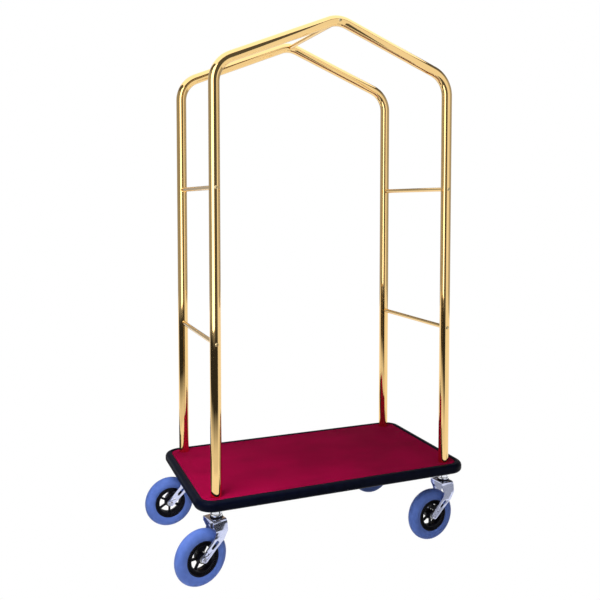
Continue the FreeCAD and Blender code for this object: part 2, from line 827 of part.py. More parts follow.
def make_axle(corner):
    """Round-headed axle bolt through both legs, with a nut outside the far leg."""
    half = "sheet.leg_half_width"
    head = domed_head("axle_head", "sheet.axle_head_diameter", "sheet.axle_head_height")
    place(head, z=half)
    reach = f"2 * {half} + sheet.axle_nut_height + sheet.axle_tip"
    shank = cylinder("axle_shank", "sheet.axle_diameter / 2", reach)
    place(shank, z=f"-{half} - sheet.axle_nut_height - sheet.axle_tip")
    bolt = fuse("axle_bolt", head, shank)
    place_on_axle(bolt, corner)
    finish(bolt, f"{corner}_axle_bolt")
    blank = hexagon_prism("nut_blank", "sheet.axle_nut_width", "sheet.axle_nut_height")
    thread = cylinder("nut_thread", "sheet.axle_diameter / 2", "sheet.axle_nut_height")
    nut = cut("axle_nut", blank, thread)
    place_on_axle(nut, corner, f"-{half} - sheet.axle_nut_height")
    finish(nut, f"{corner}_axle_nut")


def make_spacers(corner):
    """Two short tubes on the axle between the legs and the wheel's bearings."""
    inner_face = "(sheet.leg_half_width - sheet.sheet_thickness)"
    hub_face = "(sheet.hub_length / 2 + sheet.moving_gap)"
    length = f"{inner_face} - {hub_face}"
    spacers = []
    for start in (hub_face, f"-{inner_face}"):
        tube = ring("spacer", "sheet.spacer_diameter / 2", "sheet.axle_diameter / 2", length)
        place_on_axle(tube, corner, start)
        spacers.append(tube)
    group(f"{corner}_axle_spacers", spacers)


def make_wheel_bearings(corner):
    bore = "sheet.axle_diameter / 2 + sheet.running_gap"
    outer = "sheet.wheel_bearing_diameter / 2"
    hub_face = "sheet.hub_length / 2"
    bearings = []
    for start in (f"{hub_face} - sheet.wheel_bearing_width", f"-{hub_face}"):
        bearing = ring("wheel_bearing", outer, bore, "sheet.wheel_bearing_width")
        place_on_axle(bearing, corner, start)
        bearings.append(bearing)
    group(f"{corner}_wheel_bearings", bearings)


def rim_section():
    """Half of the wheel centre's section, from the bore out to the tyre's seat."""
    bearing_face = "(sheet.hub_length / 2 - sheet.wheel_bearing_width)"
    chord = "sqrt((sheet.tyre_width / 2) ^ 2 - (sheet.wheel_diameter / 2"
    chord += " - sheet.tyre_width / 2 - sheet.rim_diameter / 2) ^ 2)"
    upper = [
        ("sheet.rim_diameter / 2", chord),
        ("sheet.rim_well_diameter / 2", "sheet.rim_ring_width / 2"),
        ("sheet.web_diameter / 2", "sheet.web_thickness / 2"),
        ("sheet.hub_diameter / 2 + sheet.hub_taper", "sheet.web_thickness / 2"),
        ("sheet.hub_diameter / 2", "sheet.hub_length / 2"),
        ("sheet.wheel_bearing_diameter / 2", "sheet.hub_length / 2"),
        ("sheet.wheel_bearing_diameter / 2", bearing_face),
        ("sheet.hub_bore / 2", bearing_face),
    ]
    lower = [(r, f"-({w})") for r, w in reversed(upper)]
    return upper + lower


def make_rim(corner):
    body = doc.addObject("PartDesign::Body", "rim")
    section = new_sketch(body, "XZ_Plane")
    polygon(section, rim_section())
    revolve(body, section)
    window = new_sketch(body, "XY_Plane")
    turned = FreeCAD.Rotation(TOP_AXIS, cell(f"{corner}_wheel_turn"))
    window.AttachmentOffset = FreeCAD.Placement(FreeCAD.Vector(), turned)
    corners = [
        ("sheet.window_inner", "-sheet.window_inner_half"),
        ("sheet.window_outer", "-sheet.window_outer_half"),
        ("sheet.window_outer", "sheet.window_outer_half"),
        ("sheet.window_inner", "sheet.window_inner_half"),
    ]
    polygon(window, corners)
    opening = pocket(body, window)
    pattern = body.newObject("PartDesign::PolarPattern", "window_pattern")
    pattern.Originals = [opening]
    pattern.Axis = (window, ["N_Axis"])
    pattern.Angle = 360
    pattern.setExpression("Occurrences", "sheet.window_count")
    body.Tip = pattern
    place_on_axle(body, corner)
    finish(body, f"{corner}_rim")


def make_tyre(corner):
    """A full round tyre section, flat where it seats on the rim."""
    body = doc.addObject("PartDesign::Body", "tyre")
    section = new_sketch(body, "XZ_Plane")
    thick = cell("tyre_width") / 2
    middle = cell("wheel_diameter") / 2 - thick
    seat = cell("rim_diameter") / 2
    bead = math.acos((middle - seat) / thick)
    crown_circle = Part.Circle(FreeCAD.Vector(middle, 0, 0), TOP_AXIS, thick)
    arc = section.addGeometry(Part.ArcOfCircle(crown_circle, bead - math.pi, math.pi - bead))
    line = section.addGeometry(
        Part.LineSegment(section.getPoint(arc, END_POINT), section.getPoint(arc, START_POINT))
    )
    section.addConstraint(Sketcher.Constraint("Coincident", arc, END_POINT, line, START_POINT))
    section.addConstraint(Sketcher.Constraint("Coincident", line, END_POINT, arc, START_POINT))
    section.addConstraint(Sketcher.Constraint("Vertical", line))
    pin_point(section, arc, CENTRE_POINT, "(sheet.wheel_diameter - sheet.tyre_width) / 2", "0")
    bind(section, Sketcher.Constraint("Radius", arc, thick), "sheet.tyre_width / 2")
    tie = Sketcher.Constraint("DistanceX", ORIGIN_GEOMETRY, START_POINT, line, START_POINT, seat)
    bind(section, tie, "sheet.rim_diameter / 2")
    revolve(body, section)
    place_on_axle(body, corner)
    finish(body, f"{corner}_tyre")


def make_caster(corner):
    make_collar(corner)
    make_seal(corner)
    make_swivel_bearing(corner)
    make_fork(corner)
    make_axle(corner)
    make_spacers(corner)
    make_wheel_bearings(corner)
    make_rim(corner)
    make_tyre(corner)


def check_document():
    doc.recompute()
    for thing in doc.Objects:
        if "Invalid" in thing.State or "Error" in thing.State:
            raise RuntimeError(f"{thing.Label} failed to build")
    for node in nodes:
        if node.Shape.isNull() or not node.Shape.isValid():
            raise RuntimeError(f"{node.Label} has no sound shape")


def write_parts():
    os.makedirs("parts", exist_ok=True)
    for node in nodes:
        node.Shape.exportStep(f"parts/{node.Label}.step")


fill_sheet()
make_hoop("front_hoop", -1)
make_hoop("rear_hoop", 1)
for rod_name, rod_height in (
    ("upper", "sheet.upper_rod_height"),
    ("lower", "sheet.lower_rod_height"),
):
    make_rod(f"{rod_name}_left_rod", f"-{HALF_X}", rod_height, "XY_Plane")
    make_rod(f"{rod_name}_right_rod", HALF_X, rod_height, "XY_Plane")
make_rod("hanging_rail", "0", PEAK_HEIGHT, "YZ_Plane")
make_rod_screws()
make_post_plugs()
make_board()
make_carpet()
make_bumper()
make_bars()
make_deck_screws()
make_stem_bolts()
for caster_name in CASTERS:
    make_caster(caster_name)
check_document()
write_parts()
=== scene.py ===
import json
import math

import bmesh
import bpy
from mathutils import Matrix, Vector


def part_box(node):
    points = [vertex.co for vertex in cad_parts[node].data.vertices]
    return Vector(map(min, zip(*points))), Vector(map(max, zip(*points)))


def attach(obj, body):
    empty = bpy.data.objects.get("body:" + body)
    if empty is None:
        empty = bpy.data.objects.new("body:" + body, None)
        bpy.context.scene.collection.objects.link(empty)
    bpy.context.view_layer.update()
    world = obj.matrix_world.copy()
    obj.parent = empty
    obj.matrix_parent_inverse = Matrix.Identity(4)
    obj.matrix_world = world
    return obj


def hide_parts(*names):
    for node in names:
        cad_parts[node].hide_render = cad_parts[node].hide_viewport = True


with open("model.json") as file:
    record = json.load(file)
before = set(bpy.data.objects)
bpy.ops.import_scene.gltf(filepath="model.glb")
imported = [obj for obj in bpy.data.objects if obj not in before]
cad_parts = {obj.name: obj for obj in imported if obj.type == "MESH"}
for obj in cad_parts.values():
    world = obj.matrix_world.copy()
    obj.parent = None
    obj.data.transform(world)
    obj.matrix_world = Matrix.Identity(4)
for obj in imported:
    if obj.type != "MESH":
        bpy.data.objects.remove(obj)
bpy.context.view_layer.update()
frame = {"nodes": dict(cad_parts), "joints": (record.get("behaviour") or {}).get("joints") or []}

# Looks of the hotel luggage cart, in metres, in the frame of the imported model.

MM = 0.001
CORNERS = ("front_left", "front_right", "rear_left", "rear_right")
UP = Vector((0, 0, 1))
BACK = Vector((0, 1, 0))
CREASE = 35             # degrees: a sharper edge than this is drawn sharp
SAME_POINT = 0.005 * MM


# --- sizes read from the frame, and the few that it can't give --------------------


def middle(node):
    """The centre of a CAD node's box."""
    low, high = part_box(node)
    return (low + high) / 2


hoop_low, hoop_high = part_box("front_hoop")
deck_low, deck_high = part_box("bumper")
mat_low, mat_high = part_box("carpet")

TUBE_RADIUS = (hoop_high.y - hoop_low.y) / 2
TUBE_WALL = 1.5 * MM
POST_X = hoop_high.x - TUBE_RADIUS
POST_Y = middle("rear_hoop").y
ROOF_SLOPE = math.radians(22)
BEND_RADIUS = 95 * MM
ROD_HEIGHTS = (middle("upper_left_rod").z, middle("lower_left_rod").z)
PEAK_HEIGHT = hoop_high.z - TUBE_RADIUS
BUMPER_CORNER = 65 * MM
BUMPER_ROUND = 14 * MM
BUMPER_WIDTH = deck_high.x - mat_high.x
WHEEL_RADIUS = middle("front_left_tyre").z
TYRE_HALF = 23 * MM
SEAT_RADIUS = 59.5 * MM


# --- mesh helpers -----------------------------------------------------------------


def shape(name, points, faces, crease=CREASE):
    """A mesh from points and faces, smooth but for edges sharper than crease degrees."""
    mesh = bpy.data.meshes.new(name)
    mesh.from_pydata([tuple(point) for point in points], [], faces)
    return tidy(mesh, crease)


def tidy(mesh, crease=CREASE):
    """Joins points that coincide, turns the faces outward and sets the shading."""
    work = bmesh.new()
    work.from_mesh(mesh)
    bmesh.ops.remove_doubles(work, verts=work.verts, dist=SAME_POINT)
    bmesh.ops.recalc_face_normals(work, faces=work.faces)
    work.to_mesh(mesh)
    work.free()
    return shaded(mesh, crease)


def shaded(mesh, crease):
    """Smooth shading, but for edges sharper than crease degrees."""
    mesh.shade_smooth()
    mesh.set_sharp_from_angle(angle=math.radians(crease))
    return mesh


def merged(name, meshes, crease=CREASE):
    """Several meshes as one."""
    work = bmesh.new()
    for mesh in meshes:
        work.from_mesh(mesh)
        bpy.data.meshes.remove(mesh)
    whole = bpy.data.meshes.new(name)
    work.to_mesh(whole)
    work.free()
    return shaded(whole, crease)


def piece(name, mesh, replaced, body, slot):
    """Puts a mesh in the scene in place of a CAD node, on its body and in its slot's finish."""
    made = bpy.data.objects.new(name, mesh)
    bpy.context.scene.collection.objects.link(made)
    mesh.materials.clear()
    mesh.materials.append(finishes[slot])
    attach(made, body)
    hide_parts(replaced)
    return made


def loft(name, rings, crease, closed_up=False):
    """Skin over rings of equal count. closed_up joins the last ring to the first."""
    count = len(rings[0])
    points = [point for ring in rings for point in ring]
    faces = []
    steps = len(rings) if closed_up else len(rings) - 1
    for step in range(steps):
        here, there = step * count, (step + 1) % len(rings) * count
        for index in range(count):
            after = (index + 1) % count
            faces.append((here + index, here + after, there + after, there + index))
    if not closed_up:
        faces.append(tuple(range(count)))
        faces.append(tuple(range(len(points) - count, len(points))))
    return shape(name, points, faces, crease)


def arc(centre_x, centre_y, radius, start, end, steps):
    """Points of an arc in a plane, angles in degrees."""
    turns = [math.radians(start + (end - start) * step / steps) for step in range(steps + 1)]
    return [(centre_x + radius * math.cos(t), centre_y + radius * math.sin(t)) for t in turns]


def eased(corners, steps):
    """A closed outline whose corners (x, y, radius) are rounded."""
    nearly_straight = math.radians(89)
    outline = []
    for index, (x, y, radius) in enumerate(corners):
        here = Vector((x, y))
        before = Vector(corners[index - 1][:2])
        after = Vector(corners[(index + 1) % len(corners)][:2])
        back, ahead = (before - here).normalized(), (after - here).normalized()
        half = back.angle(ahead) / 2
        if radius <= 0 or half > nearly_straight:
            outline.append((x, y))
            continue
        reach = radius / math.tan(half)
        centre = here + (back + ahead).normalized() * radius / math.sin(half)
        first, last = here + back * reach - centre, here + ahead * reach - centre
        sweep = first.angle_signed(last)
        for step in range(steps + 1):
            turn = Matrix.Rotation(-sweep * step / steps, 2)
            outline.append(tuple(centre + turn @ first))
    return outline


def spokes(segments):
    """Evenly spaced turns about Z, each with the direction that it faces."""
    for step in range(segments):
        turn = 2 * math.pi * step / segments
        yield turn, Vector((math.cos(turn), math.sin(turn), 0))


def hexagon_reach(turn, flat):
    """Distance from a hexagon's centre to its side, for a distance flat to each flat."""
    sixth = math.radians(60)
    return flat / math.cos((turn % sixth) - sixth / 2)


def spun(name, section, place, segments, crease=CREASE):
    """A closed section of (radius, height) points turned about the Z axis of place."""
    rings = [[place @ (side * radius + UP * height) for radius, height in section]
             for _turn, side in spokes(segments)]
    return loft(name, rings, crease, closed_up=True)


def plate(name, outlines, thickness, edge):
    """A flat plate with holes, lying about Z = 0, its edges eased by the size edge."""
    curve = bpy.data.curves.new(name, "CURVE")
    curve.dimensions = "2D"
    curve.fill_mode = "BOTH"
    curve.extrude = thickness / 2 - edge
    curve.bevel_depth = edge
    curve.bevel_resolution = 1
    curve.offset = -edge
    for outline in outlines:
        spline = curve.splines.new("POLY")
        spline.points.add(len(outline) - 1)
        for point, (x, y) in zip(spline.points, outline):
            point.co = (x, y, 0, 1)
        spline.use_cyclic_u = True
    drawn = bpy.data.objects.new(name, curve)
    bpy.context.scene.collection.objects.link(drawn)
    seen = drawn.evaluated_get(bpy.context.evaluated_depsgraph_get())
    mesh = bpy.data.meshes.new_from_object(seen)
    bpy.data.objects.remove(drawn)
    bpy.data.curves.remove(curve)
    return tidy(mesh)


def round_hole(x, y, radius, steps=24):
    """A closed circle of points."""
    return arc(x, y, radius, 0, 360 * (steps - 1) / steps, steps - 1)


def hexagon_nut(name, place, width, height):
    """A hexagonal nut with a washer face, its top corners turned off and its middle dished."""
    flat = width / 2
    chamfer = math.tan(math.radians(30))
    washer_radius, washer_face = flat * 0.96, 0.4 * MM
    top_radius = flat * 0.94
    dish_radius, dish_foot, dish_depth = flat * 0.55, flat * 0.5, 0.15 * MM
    rings = []
    for turn, side in spokes(72):
        reach = hexagon_reach(turn, flat)
        turned_off = (reach - top_radius) * chamfer
        section = [
            (0, 0),
            (washer_radius, 0),
            (washer_radius, washer_face),
            (reach, washer_face),
            (reach, height - turned_off),
            (top_radius, height),
            (dish_radius, height),
            (dish_foot, height - dish_depth),
            (0, height - dish_depth),
        ]
        rings.append([place @ (side * radius + UP * rise) for radius, rise in section])
    return loft(name, rings, 25, closed_up=True)


# --- materials --------------------------------------------------------------------


def node(tree, kind, values=None, **settings):
    """A shader node with values on its sockets and settings on itself."""
    made = tree.nodes.new("ShaderNode" + kind)
    for key, value in settings.items():
        setattr(made, key, value)
    for key, value in (values or {}).items():
        made.inputs[key].default_value = value
    return made


def grain(tree, scale, detail=3.0, stretch=(1, 1, 1), kind="TexNoise", **values):
    """A noise that sits still on the piece. Its scale is in cycles per metre."""
    place = node(tree, "TexCoord")
    spread = node(tree, "Mapping", {"Scale": stretch})
    settings = {"Scale": scale, "Detail": detail}
    settings.update(values)
    texture = node(tree, kind, settings)
    tree.links.new(place.outputs["Object"], spread.inputs["Vector"])
    tree.links.new(spread.outputs["Vector"], texture.inputs["Vector"])
    return texture


def ramp(tree, source, stops):
    """Colours or greys along a texture's value."""
    made = node(tree, "ValToRGB")
    for index, (position, colour) in enumerate(stops):
        if index < 2:
            stop = made.color_ramp.elements[index]
        else:
            stop = made.color_ramp.elements.new(position)
        stop.position = position
        stop.color = (*colour, 1) if hasattr(colour, "__len__") else (colour,) * 3 + (1,)
    tree.links.new(source, made.inputs["Fac"])
    return made.outputs["Color"]


def bump(tree, height, depth, under=None):
    """Relief of the given depth in metres, on top of another relief."""
    made = node(tree, "Bump", {"Distance": depth, "Strength": 1.0})
    tree.links.new(height, made.inputs["Height"])
    if under:
        tree.links.new(under, made.inputs["Normal"])
    return made.outputs["Normal"]


def surface(name, settings):
    """A new Principled material with constants set on the shader's own sockets."""
    made = bpy.data.materials.new(name)
    made.use_nodes = True
    shader = made.node_tree.nodes["Principled BSDF"]
    for socket, value in settings.items():
        shader.inputs[socket].default_value = value
    return made, made.node_tree, shader


def span(low, high):
    """Ramp stops across the part of its range that a noise mostly keeps to."""
    return [(0.3, low), (0.7, high)]


def mottled(name, dark, light, rough, scale, relief, settings=None):
    """Colour in broad clouds, and roughness and relief that vary together in fine ones."""
    broad_share = 0.12
    made, tree, shader = surface(name, settings or {})
    broad = grain(tree, scale * broad_share, 4.0)
    fine = grain(tree, scale, 5.0)
    colour = ramp(tree, broad.outputs["Fac"], span(dark, light))
    tree.links.new(colour, shader.inputs["Base Color"])
    tree.links.new(ramp(tree, fine.outputs["Fac"], span(*rough)), shader.inputs["Roughness"])
    tree.links.new(bump(tree, fine.outputs["Fac"], relief), shader.inputs["Normal"])
    return made


def brass_material():
    """Mirror-polished lacquered brass, with faint hand marks and polishing lines."""
    made, tree, shader = surface(
        "polished_brass",
        {"Metallic": 1.0, "Coat Weight": 0.3, "Coat Roughness": 0.03, "Coat IOR": 1.45},
    )
    tone = grain(tree, 3.0, 4.0)
    colours = [(0.25, (0.90, 0.605, 0.24)), (0.75, (0.96, 0.665, 0.29))]
    tree.links.new(ramp(tree, tone.outputs["Fac"], colours), shader.inputs["Base Color"])
    marks = grain(tree, 45.0, 6.0, Roughness=0.65)
    shine = ramp(tree, marks.outputs["Fac"], [(0.4, 0.04), (0.72, 0.1)])
    tree.links.new(shine, shader.inputs["Roughness"])
    lines = grain(tree, 700.0, 2.0, (1, 1, 0.03))
    wave = bump(tree, marks.outputs["Fac"], 0.004 * MM)
    tree.links.new(bump(tree, lines.outputs["Fac"], 0.0005 * MM, wave), shader.inputs["Normal"])
    return made


def carpet_material():
    """Short cut-pile carpet: tufts in rows, fibre noise and shade marks from brushing."""
    made, tree, shader = surface(
        "carpet",
        {"Sheen Weight": 0.05, "Sheen Roughness": 0.5, "Sheen Tint": (0.9, 0.05, 0.15, 1),
         "Specular IOR Level": 0.02},
    )
    tufts = grain(tree, 420.0, kind="TexVoronoi", Randomness=0.85)
    fibre = grain(tree, 1500.0, 4.0)
    brushed = grain(tree, 5.0, 3.0, (1, 1.6, 1))
    pile_colours = [(0.1, (0.52, 0.0015, 0.072)), (0.75, (0.28, 0.001, 0.038))]
    deep = ramp(tree, tufts.outputs["Distance"], pile_colours)
    shade = ramp(tree, brushed.outputs["Fac"], [(0.35, 0.78), (0.65, 1.0)])
    mix = node(tree, "Mix", {"Factor": 1.0}, data_type="RGBA", blend_type="MULTIPLY")
    tree.links.new(deep, mix.inputs["A"])
    tree.links.new(shade, mix.inputs["B"])
    tree.links.new(mix.outputs["Result"], shader.inputs["Base Color"])
    rough = ramp(tree, fibre.outputs["Fac"], span(0.82, 0.98))
    tree.links.new(rough, shader.inputs["Roughness"])
    pile = bump(tree, tufts.outputs["Distance"], 0.9 * MM)
    tree.links.new(bump(tree, fibre.outputs["Fac"], 0.3 * MM, pile), shader.inputs["Normal"])
    return made


def plywood_material():
    """Plywood: long grain on the faces, plies seen at the edge."""
    made, tree, shader = surface("plywood", {"Specular IOR Level": 0.3})
    veneer = grain(tree, 12.0, 6.0, (0.4, 9.0, 60.0), Distortion=0.6)
    colours = span((0.42, 0.26, 0.13), (0.62, 0.43, 0.25))
    tree.links.new(ramp(tree, veneer.outputs["Fac"], colours), shader.inputs["Base Color"])
    tree.links.new(ramp(tree, veneer.outputs["Fac"], span(0.55, 0.75)), shader.inputs["Roughness"])
    tree.links.new(bump(tree, veneer.outputs["Fac"], 0.2 * MM), shader.inputs["Normal"])
    return made


METAL = {"Metallic": 1.0}
finishes = {
    "polished_brass": brass_material(),
    "carpet": carpet_material(),
    "plywood": plywood_material(),
    "screw_steel": mottled("screw_steel", (0.50, 0.40, 0.22), (0.66, 0.52, 0.28),
                           (0.16, 0.3), 600.0, 0.004 * MM, METAL),
    "plain_steel": mottled("plain_steel", (0.34, 0.35, 0.37), (0.5, 0.51, 0.53),
                           (0.28, 0.42), 500.0, 0.01 * MM, METAL),
    "bumper_rubber": mottled("bumper_rubber", (0.001, 0.0017, 0.007), (0.002, 0.003, 0.011),
                             (0.3, 0.45), 350.0, 0.03 * MM, {"IOR": 1.12}),
    "frame_paint": mottled("frame_paint", (0.012, 0.012, 0.014), (0.022, 0.022, 0.026),
                           (0.35, 0.5), 260.0, 0.06 * MM),
    "chrome": mottled("chrome", (0.74, 0.76, 0.82), (0.84, 0.86, 0.92),
                      (0.06, 0.15), 200.0, 0.003 * MM, METAL),
    "seal_rubber": mottled("seal_rubber", (0.006, 0.006, 0.012), (0.012, 0.012, 0.02),
                           (0.45, 0.6), 500.0, 0.03 * MM, {"Specular IOR Level": 0.2}),
    "zinc_plate": mottled("zinc_plate", (0.54, 0.58, 0.80), (0.66, 0.70, 0.90),
                          (0.07, 0.13), 420.0, 0.002 * MM, {"Metallic": 0.95}),
    "bolt_zinc": mottled("bolt_zinc", (0.46, 0.48, 0.62), (0.6, 0.62, 0.76),
                         (0.2, 0.34), 700.0, 0.01 * MM, METAL),
    "rim_plastic": mottled("rim_plastic", (0.002, 0.002, 0.005), (0.005, 0.005, 0.011),
                           (0.3, 0.46), 700.0, 0.02 * MM, {"IOR": 1.25}),
    "tyre_rubber": mottled("tyre_rubber", (0.076, 0.14, 0.45), (0.09, 0.165, 0.51),
                           (0.45, 0.6), 500.0, 0.02 * MM, {"Specular IOR Level": 0.25}),
}


def dress_cad_nodes():
    """Gives every carried-over CAD node the finish of its own slot."""
    for made in frame["nodes"].values():
        for holder in made.material_slots:
            slot = holder.material.name.split(".")[0]
            if slot in finishes:
                holder.material = finishes[slot]


# --- hoops, screws ----------------------------------------------------------------


def hoop_line():
    """Points of a hoop's centre line, foot to foot, in the plane y = 0."""
    shoulder_steps, peak_steps = 24, 20
    sine, cosine = math.sin(ROOF_SLOPE), math.cos(ROOF_SLOPE)
    shoulder_x = POST_X - BEND_RADIUS * (1 - sine)
    roof_x = BEND_RADIUS * sine
    roof_z = PEAK_HEIGHT - BEND_RADIUS * (1 - cosine)
    shoulder_z = roof_z - (shoulder_x - roof_x) * math.tan(ROOF_SLOPE)
    bend_z = shoulder_z - BEND_RADIUS * cosine
    slope = math.degrees(ROOF_SLOPE)
    line = [(-POST_X, hoop_low.z)]
    line += arc(BEND_RADIUS - POST_X, bend_z, BEND_RADIUS, 180, 90 + slope, shoulder_steps)
    line += arc(0, PEAK_HEIGHT - BEND_RADIUS, BEND_RADIUS, 90 + slope, 90 - slope,
                peak_steps)
    line += arc(POST_X - BEND_RADIUS, bend_z, BEND_RADIUS, 90 - slope, 0, shoulder_steps)
    line.append((POST_X, hoop_low.z))
    return [Vector((x, 0, z)) for x, z in line]


def make_hoop(node_name):
    """A bent tube with its bore open at both feet."""
    line = hoop_line()
    to_plane = BACK * middle(node_name).y
    segments = 64
    points = []
    for index, point in enumerate(line):
        before, after = line[max(index - 1, 0)], line[min(index + 1, len(line) - 1)]
        along = ((point - before).normalized() + (after - point).normalized()).normalized()
        side = along.cross(BACK)
        for radius, sign in ((TUBE_RADIUS, 1), (TUBE_RADIUS - TUBE_WALL, -1)):
            for step in range(segments):
                turn = sign * 2 * math.pi * step / segments
                offset = side * math.cos(turn) + BACK * math.sin(turn)
                points.append(point + to_plane + offset * radius)
    faces = []
    count = 2 * segments
    for here in range(0, len(points) - count, count):
        there = here + count
        for start in (0, segments):
            for index in range(segments):
                one, two = start + index, start + (index + 1) % segments
                faces.append((here + one, here + two, there + two, there + one))
    for end in (0, len(points) - count):
        for one in range(segments):
            two = (one + 1) % segments
            inner_one, inner_two = segments + (-one) % segments, segments + (-two) % segments
            faces.append((end + one, end + two, end + inner_two, end + inner_one))
    return shape(node_name + "_tube", points, faces, 40)


def domed_screw(name, place, head_diameter, head_height, shank_diameter, shank_length):
    """A domed head with a hexagon socket, on its shank. The head stands on the origin."""
    head_radius, shank_radius = head_diameter / 2, shank_diameter / 2
    ball = head_radius ** 2 / 2 / head_height + head_height / 2
    spread = math.degrees(math.asin(head_radius / ball))
    socket = socket_depth = shank_radius * 2 / 3
    socket_point, socket_ease = socket_depth * 1.3, 0.1 * MM
    mouth = math.degrees(math.asin(socket * 1.25 / ball))
    tip_chamfer = shank_radius / 4
    rings = []
    for turn, side in spokes(48):
        hexagon = hexagon_reach(turn, socket)
        section = arc(0, head_height - ball, ball, 90 - spread, 90 - mouth, 8)
        top = section[-1][1]
        section += [
            (hexagon, top - socket_ease),
            (hexagon, top - socket_depth),
            (0, top - socket_point),
            (0, -shank_length),
            (shank_radius - tip_chamfer, -shank_length),
            (shank_radius, tip_chamfer - shank_length),
            (shank_radius, 0),
        ]
        rings.append([place @ (side * radius + UP * rise) for radius, rise in section])
    return loft(name, rings, 30, closed_up=True)


def make_rod_screws():
    """The screws through the hoops into the rods' ends and the rail's ends."""
    spots = [(sign * POST_X, height) for sign in (-1, 1) for height in ROD_HEIGHTS]
    spots.append((0, PEAK_HEIGHT))
    head_diameter, head_height = 13 * MM, 3.5 * MM
    shank_diameter, shank_length = 6 * MM, 58 * MM
    sizes = (head_diameter, head_height, shank_diameter, shank_length)
    screws = []
    for side in (-1, 1):
        outward = Matrix.Rotation(math.radians(-side * 90), 4, "X")
        for x, height in spots:
            face = Vector((x, side * (POST_Y + TUBE_RADIUS), height))
            screws.append(domed_screw("rod_screw", Matrix.Translation(face) @ outward, *sizes))
    return merged("rod_screw_set", screws, 30)


# --- deck -------------------------------------------------------------------------


def deck_loop(inset, height):
    """The deck's rounded outline, drawn in by inset, at a height."""
    steps = 14
    radius = BUMPER_CORNER - inset
    reach_x, reach_y = deck_high.x - BUMPER_CORNER, deck_high.y - BUMPER_CORNER
    loop = []
    for quarter, (i, j) in enumerate(((1, 1), (-1, 1), (-1, -1), (1, -1))):
        start = 90 * quarter
        loop += arc(i * reach_x, j * reach_y, radius, start, start + 90, steps)
    return [Vector((x, y, height)) for x, y in loop]


def make_bumper():
    """A rubber profile bent round the deck, with a fine groove in its top by the carpet."""
    low, high = deck_low.z, deck_high.z
    lip, groove = 2 * MM, 1.2 * MM
    profile = [(BUMPER_WIDTH, low + lip), (BUMPER_WIDTH - lip, low)]
    profile += arc(BUMPER_ROUND, low + BUMPER_ROUND, BUMPER_ROUND, 270, 180, 10)
    profile += arc(BUMPER_ROUND, high - BUMPER_ROUND, BUMPER_ROUND, 180, 90, 10)
    profile += [
        (BUMPER_WIDTH - 3 * lip, high),
        (BUMPER_WIDTH - 2.5 * lip, high - groove),
        (BUMPER_WIDTH - 2 * lip, high - groove),
        (BUMPER_WIDTH - 1.5 * lip, high),
        (BUMPER_WIDTH - lip / 2, high - lip / 4),
        (BUMPER_WIDTH, high - lip),
    ]
    rings = [deck_loop(inset, height) for inset, height in profile]
    return loft("bumper_ring", rings, 50, closed_up=True)


def band(work, rings):
    """Faces between loops of points. Gives back the first loop and the last."""
    made = [[work.verts.new(point) for point in ring] for ring in rings]
    for one, two in zip(made, made[1:]):
        for index in range(len(one)):
            after = (index + 1) % len(one)
            work.faces.new((one[index], one[after], two[after], two[index]))
    return made[0], made[-1]


def make_carpet():
    """A fitted mat with rolled edges, cut round the four posts."""
    thick = mat_high.z - mat_low.z
    roll, hole, hole_roll = 7 * MM, TUBE_RADIUS + 0.2 * MM, 1.5 * MM
    edge = [(BUMPER_WIDTH, mat_low.z)]
    edge += arc(BUMPER_WIDTH + roll, mat_high.z - roll, roll, 180, 90, 8)
    hole_edge = [(hole, 0)] + arc(hole + hole_roll, thick - hole_roll, hole_roll, 180, 90, 4)
    work = bmesh.new()
    rims = [band(work, [deck_loop(inset, height) for inset, height in edge])]
    for i in (-1, 1):
        for j in (-1, 1):
            rings = [[Vector((x, y, mat_low.z + up))
                      for x, y in round_hole(i * POST_X, j * POST_Y, out, 40)]
                     for out, up in hole_edge]
            rims.append(band(work, rings))
    for level in (0, 1):
        edges = []
        for rim in rims:
            ring = rim[level]
            edges += [work.edges.get((ring[k], ring[(k + 1) % len(ring)]))
                      for k in range(len(ring))]
        bmesh.ops.triangle_fill(work, use_beauty=True, use_dissolve=False, edges=edges)
    mesh = bpy.data.meshes.new("carpet_mat")
    work.to_mesh(mesh)
    work.free()
    return tidy(mesh, 60)


# --- casters ----------------------------------------------------------------------
# In a caster's own frame the origin is on the floor under its stem, +X trails towards
# the wheel and +Y runs along the axle. A wheel's frame sits at its centre, Z on the axle.


def joint(name):
    """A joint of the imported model, by name."""
    return next(item for item in frame["joints"] if item["name"] == name)


def caster_frames(corner):
    """A caster's frame, its wheel's frame, its trail and the height of its crown's top."""
    stem = Vector(joint(f"{corner}_swivel_turn")["pos_m"])
    centre = Vector(joint(f"{corner}_wheel_roll")["pos_m"])
    along = Vector(joint(f"{corner}_wheel_roll")["axis"]).normalized()
    trail = Vector((centre.x - stem.x, centre.y - stem.y, 0))
    ahead = trail.normalized()
    caster = Matrix((
        (ahead.x, along.x, 0, stem.x),
        (ahead.y, along.y, 0, stem.y),
        (ahead.z, along.z, 1, 0),
        (0, 0, 0, 1),
    ))
    wheel = Matrix((
        (ahead.x, -UP.x, along.x, centre.x),
        (ahead.y, -UP.y, along.y, centre.y),
        (ahead.z, -UP.z, along.z, centre.z),
        (0, 0, 0, 1),
    ))
    return caster, wheel, trail.length, stem.z


SHEET = 4 * MM
CROWN_HALF = 36 * MM     # half the fork's width over the crown, then over the legs
LEG_HALF = 30 * MM
CROWN_BEND = 184 * MM    # heights where the legs draw in below the crown
LEG_BEND = 122 * MM
FORK_FOOT = 60 * MM
STEM_BORE = 6 * MM
AXLE_BORE = 5 * MM
WHEEL_TURNS = {"front_left": math.radians(30)}


